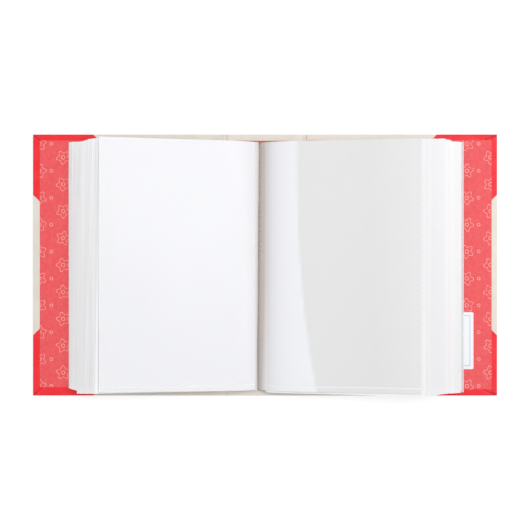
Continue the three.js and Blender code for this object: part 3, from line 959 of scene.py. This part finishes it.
def page_margin(name, leaf):
    """The strip from the floor of the notch to where the page begins."""
    shape = MARGINS[leaf.side]
    join = lie(leaf, CREASE, page_rise(leaf, CREASE), 0)
    before = lie(leaf, CREASE - JOIN_STEP, page_rise(leaf, CREASE - JOIN_STEP), 0)
    along_page = (join - before) / np.linalg.norm(join - before)
    t = np.linspace(0, 1, MARGIN_STATIONS)[None, :]
    handle = join - shape.back * along_page
    lean = shape.lean * tailward(page_ys)
    foot = shape.foot + lean
    x = ((1 - t) ** 3 * foot + 3 * (1 - t) ** 2 * t * foot
         + 3 * (1 - t) * t ** 2 * (handle[0] + lean / 2) + t ** 3 * join[0])
    z = ((1 - t) ** 3 * NOTCH_FLOOR + 3 * (1 - t) ** 2 * t * (NOTCH_FLOOR + shape.up)
         + 3 * (1 - t) * t ** 2 * handle[2] + t ** 3 * join[2]) + 0 * page_ys
    dx, dz = np.gradient(x, axis=1), np.gradient(z, axis=1)
    size = np.hypot(dx, dz)
    out_x, out_z = -leaf.side * dz / size, leaf.side * dx / size
    if leaf.side > 0:
        dimples = np.clip(np.cos(math.tau * page_ys * MM / KNURL_PITCH), 0, 1)
        dimples = dimples * np.exp(-((x - foot - DIMPLE_INSET) / DIMPLE_REACH) ** 2)
        backing = backing_and_gutter_shade_at(x, page_ys) - BARE_AND_SHADED * dimples
        x = x - DIMPLE_DEPTH * dimples * out_x
        z = z - DIMPLE_DEPTH * dimples * out_z
    else:
        # Painted shade: darker down the wall, towards the foot
        rolled = np.clip((x - join[0]) / (foot - join[0]), 0, 1)
        backing = LEFT_FOOT_BACKING_AND_SHADE + (LEFT_TOP_BACKING_AND_SHADE - LEFT_FOOT_BACKING_AND_SHADE) * (1 - rolled) ** 2
    y = page_ys + skew(leaf, 0) + 0 * x
    upper = np.stack([x + FILM_HALF * out_x, y, z + FILM_HALF * out_z], -1)
    lower = np.stack([x - FILM_HALF * out_x, y, z - FILM_HALF * out_z], -1)
    margin = thin_piece(name, upper, lower, [margin_film])
    mark(margin, "backing", backing)
    begin = (shape.foot * MM, 0, (NOTCH_FLOOR + shape.up / 2) * MM)
    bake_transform(margin, "spine", leaf.name, start=begin, end=tuple(join * MM))
    return margin


left_margin = page_margin("left_margin", left_leaf)
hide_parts("leaf_17_margin")
right_margin = page_margin("right_margin", right_leaf)
print("margins", left_margin.name, "and", right_margin.name)

# %% [markdown]
# ## The facing sheets and their films
# The sheet inside a facing page is flat white paper, and the film over it never lies quite flat:
# it is held along three welded seams, pillows a little between them and is open at the head. The
# film is a second thin piece over the sheet, whose height above it is worked out for each point.
# The welded seams are rows of small dots pressed by a knurled wheel, so the points there are
# close together and go up and down in step with the wheel's pitch.

# %% Facing sheets
CREASE_STATIONS = (0, 0.4, 0.8, 1.2, 1.6, 2.0, 2.4, 2.8)
BODY_START = 3.6
BODY_END = 5.5
BODY_STATIONS = 52
FILM_INSET = 0.6
SEAM_STATIONS = (4.7, 4.3, 3.9, 3.5, 3.1, 2.6, 2.2, 1.8, 1.4, 1.0, FILM_INSET)


def page_stations(leaf, is_film):
    """Places along a facing page from its crease to its fore-edge, closer together at the seams."""
    start = [CREASE + d for d in CREASE_STATIONS]
    body = list(np.linspace(CREASE + BODY_START, leaf.length - BODY_END, BODY_STATIONS))
    seam = [leaf.length - d for d in SEAM_STATIONS]
    end = [] if is_film else [leaf.length]
    return np.array(start + body + seam + end)[None, :]


def facing_sheet(name, leaf):
    """The white sheet of a facing page, from its crease to its fore-edge."""
    along = page_stations(leaf, False)
    rise = page_rise(leaf, along) + page_wave(leaf, along, page_ys)
    y = page_ys + skew(leaf, along)
    upper = lie(leaf, along, rise + SHEET_HALF, y)
    lower = lie(leaf, along, rise - SHEET_HALF, y)
    sheet = thin_piece(name, upper, lower, [facing_white])
    return sheet


left_sheet = facing_sheet("left_sheet", left_leaf)
right_sheet = facing_sheet("right_sheet", right_leaf)
print("sheets of", len(left_sheet.data.vertices), "and", len(right_sheet.data.vertices), "points")

# %% [markdown]
# The edge of the frosted film's contact with its sheet runs in a long curve, further from the
# gutter at the tail than at the head. The right-hand page shows its welded seam as a row of dots
# near the fore-edge, and both pages show a pressed line near the tail.

# %% Contact and seams
CONTACT_AT_HEAD = 21.5
CONTACT_SWING = 12.4
CONTACT_BEND = 2.6
SEAM_DOTS = 3.5
TAIL_SEAM = 3.4
SEAM_HALF = 0.7


def contact_line(y):
    """How far from the gutter the right-hand film first touches its sheet, in mm."""
    return CONTACT_AT_HEAD + CONTACT_SWING * tailward(y) ** CONTACT_BEND


def pressed_seams(leaf, along, y):
    """Where the knurled wheel ran: a row of dots by the right-hand fore-edge, a line at the tail."""
    dots = np.clip(1 - np.abs(leaf.length - SEAM_DOTS - along) / SEAM_HALF, 0, 1)
    dots = dots * np.clip(np.cos(math.tau * y * MM / KNURL_PITCH), 0, 1)
    line = np.clip(1 - np.abs(y + half_height - TAIL_SEAM) / SEAM_HALF, 0, 1) + 0 * along
    return (dots if leaf.side > 0 else 0 * line), line


print("contact starts", CONTACT_AT_HEAD, "to", CONTACT_AT_HEAD + CONTACT_SWING, "mm from the gutter")

# %% Films over the facing sheets
SEAM = 2.2
PILLOW_REACH = 6
FILM_SEAT = 0.03
FILM_THICKNESS = 0.06
FILM_LIFT = 0.13
DOT_DEPTH = 0.15
CONTACT_WIDTH = 1.5
# Two slow waves over the film: their lengths along and up the page, and a start
RIPPLES = ((17, 29, 1.3), (31, -23, 0))
RIPPLE_IN_CONTACT = 0.3
# How closely the frosted film lies, from the contact line (0) to the fore-edge (1)
CLOSENESS = ((0, 0.05, 0.35, 0.6, 1), (1.0, 0.8, 0.92, 1.0, 0.7))
DOT_CLOSENESS = 0.4
LINE_CLOSENESS = -0.25


def facing_film(name, leaf, finish):
    """The film over a facing sheet, held down at its seams and pillowed between them."""
    along = page_stations(leaf, True)
    from_edge = leaf.length - FILM_INSET - along
    from_crease = along - CREASE
    from_tail = page_ys + half_height
    held = np.minimum(np.minimum(from_edge, from_crease), from_tail)
    loose = np.clip((held - SEAM) / PILLOW_REACH, 0, 1)
    loose = loose * loose * (3 - 2 * loose)
    waves = [np.sin(along / across + page_ys / up + start) for across, up, start in RIPPLES]
    ripple = (waves[0] + waves[1]) / 4 + 0.5
    touch = contact_line(page_ys)
    contact = np.clip((along - touch) / CONTACT_WIDTH, 0, 1)
    if leaf.side < 0:
        lift = FILM_LIFT * loose * ripple
    else:
        lift = loose * FILM_LIFT * np.maximum(1 - contact, RIPPLE_IN_CONTACT * ripple)
    dots, line = pressed_seams(leaf, along, page_ys)
    lift = lift - DOT_DEPTH * np.maximum(dots, line)
    rise = page_rise(leaf, along) + page_wave(leaf, along, page_ys)
    base = rise + SHEET_HALF + FILM_SEAT + lift
    y = page_ys + skew(leaf, along)
    upper = lie(leaf, along, base + FILM_THICKNESS, y)
    lower = lie(leaf, along, base, y)
    film = thin_piece(name, upper, lower, [finish])
    closeness = np.interp((along - touch) / (leaf.length - touch), *CLOSENESS)
    closeness = closeness + DOT_CLOSENESS * dots + LINE_CLOSENESS * line
    mark(film, "contact", contact * np.clip(closeness, 0, 1))
    mark(film, "backing", backing_and_gutter_shade_at(upper[:, :, 0], page_ys))
    return film


left_film = facing_film("left_film", left_leaf, clear_film)
right_film = facing_film("right_film", right_leaf, frosted_film)
for piece, node in ((left_sheet, "leaf_17_sheet"), (left_film, "leaf_17_pocket"),
                    (right_sheet, "leaf_18_sheet"), (right_film, "leaf_18_pocket")):
    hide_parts(node)
    print(piece.name, "stands for", node)

# %% [markdown]
# The left-hand page turns at its crease, so its two pieces bend between the margin's body and the
# page's own. The right-hand page stays arched, and its two pieces ride on its leaf's body, each
# with a mesh of its own.

# %% Facing pages on their bodies
TURN_ZONE = (CREASE - 0.2, CREASE + 3.4)

for piece in (left_sheet, left_film):
    begin, stop = (lie(left_leaf, along, 0, 0) * MM for along in TURN_ZONE)
    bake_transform(piece, "leaf_17", "turning_page", start=tuple(begin), end=tuple(stop))
up = lie(right_leaf, 0, 1, 0) - lie(right_leaf, 0, 0, 0)
anchor = lie(right_leaf, 0, 0, 0) * MM
for piece in (right_sheet, right_film):
    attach(piece, "leaf_18")
    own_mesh(piece)

# %% [markdown]
# ## Floor and light
# A product photograph like this one is lit by a softbox overhead and by white walls all round. The
# world is the walls: an even white fill. One area lamp is the softbox. It hangs above, to the right
# and towards the head, close enough that the right-hand cover and the strip of cover at the head
# are a little brighter than the rest. A weaker lamp stands further to the right: its reflection is
# the bright line where the left-hand page rolls over into the gutter. A white card on the left
# sends light back into the fan of fore-edges there. The floor is pale and matt. It looks white to
# the camera, and it still takes a faint shadow.

# %% Floor
FLOOR_SIZE = 6.0
FLOOR_GLOW = 0.62

floor_paper, shader = start_finish("white_backdrop_paper", "B4B4B4", 0.9)
rays = add(floor_paper, "ShaderNodeLightPath")
seen = add(floor_paper, "ShaderNodeMath", {
    0: rays.outputs["Is Camera Ray"], 1: rays.outputs["Is Glossy Ray"]}, operation="MAXIMUM")
seen = add(floor_paper, "ShaderNodeMath", {
    0: seen.outputs[0], 1: rays.outputs["Is Transmission Ray"]}, operation="MAXIMUM")
glow = add(floor_paper, "ShaderNodeMath", {0: seen.outputs[0], 1: FLOOR_GLOW}, operation="MULTIPLY")
shader.inputs["Emission Color"].default_value = linear("FFFFFF")
link(floor_paper, glow.outputs[0], shader, "Emission Strength")

spots = np.linspace(-FLOOR_SIZE / 2, FLOOR_SIZE / 2, 3)
corners = [(x, y, 0) for y in spots for x in spots]
squares = [(i, i + 1, i + 4, i + 3) for i in (0, 1, 3, 4)]
mesh = bpy.data.meshes.new("floor")
mesh.from_pydata(corners, [], squares)
mesh.materials.append(floor_paper)
floor = bpy.data.objects.new("floor", mesh)
bpy.context.scene.collection.objects.link(floor)
floor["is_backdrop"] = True
print("floor", FLOOR_SIZE, "m square")

# %% White walls
FILL = 0.49
# Sockets of the Mix node when it mixes numbers
OFF, ON = 2, 3

world = bpy.data.worlds.new("white_walls")
bpy.context.scene.world = world
world.use_nodes = True
background = world.node_tree.nodes["Background"]
background.inputs["Color"].default_value = linear("FFFFFF")
rays = add(world, "ShaderNodeLightPath")
strength = add(world, "ShaderNodeMix", {
    FACTOR: rays.outputs["Is Camera Ray"], OFF: FILL, ON: 1.0}, data_type="FLOAT")
link(world, strength.outputs[0], background, "Strength")
print("fill", FILL, "of full white")

# %% Softbox, side lamp and card
KEY_SHARE = 0.36
KEY_PLACE = (0.3, 0.25, 1.12)
KEY_SIZE = 0.55
SIDE_SHARE = 0.12
SIDE_PLACE = (0.7, 0.03, 0.95)
SIDE_SIZE = 0.35
CARD_SHARE = 0.09
CARD_PLACE = (-0.7, 0.03, 0.6)
CARD_SIZE = 0.6


def lamp(name, place, size, share):
    """A square lamp aimed at the origin, which gives a white sheet there that share of full white."""
    # A lamp of W watts lights a sheet that faces it with W / (pi * distance ** 2), and white paper
    # shows as 1 where that is pi. The sheet on the table is turned away by the lamp's slant.
    distance = math.dist(place, (0, 0, 0))
    light = bpy.data.objects.new(name, bpy.data.lights.new(name, "AREA"))
    light.data.shape = "SQUARE"
    light.data.size = size
    light.data.energy = math.pi ** 2 * distance ** 2 * share / (place[2] / distance)
    light.location = place
    light.rotation_euler = (-light.location).to_track_quat("-Z", "Y").to_euler()
    bpy.context.scene.collection.objects.link(light)
    print(f"{name} {light.data.energy:.2f} W at {distance:.2f} m")


lamp("softbox", KEY_PLACE, KEY_SIZE, KEY_SHARE)
lamp("side_lamp", SIDE_PLACE, SIDE_SIZE, SIDE_SHARE)
lamp("reflector_card", CARD_PLACE, CARD_SIZE, CARD_SHARE)
bpy.context.scene.view_settings.view_transform = "Standard"

# %% [markdown]
# ## Sizes
# The box of the dressed album, leaving out the floor, is worked out from its objects.

# %% Sizes
low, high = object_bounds()
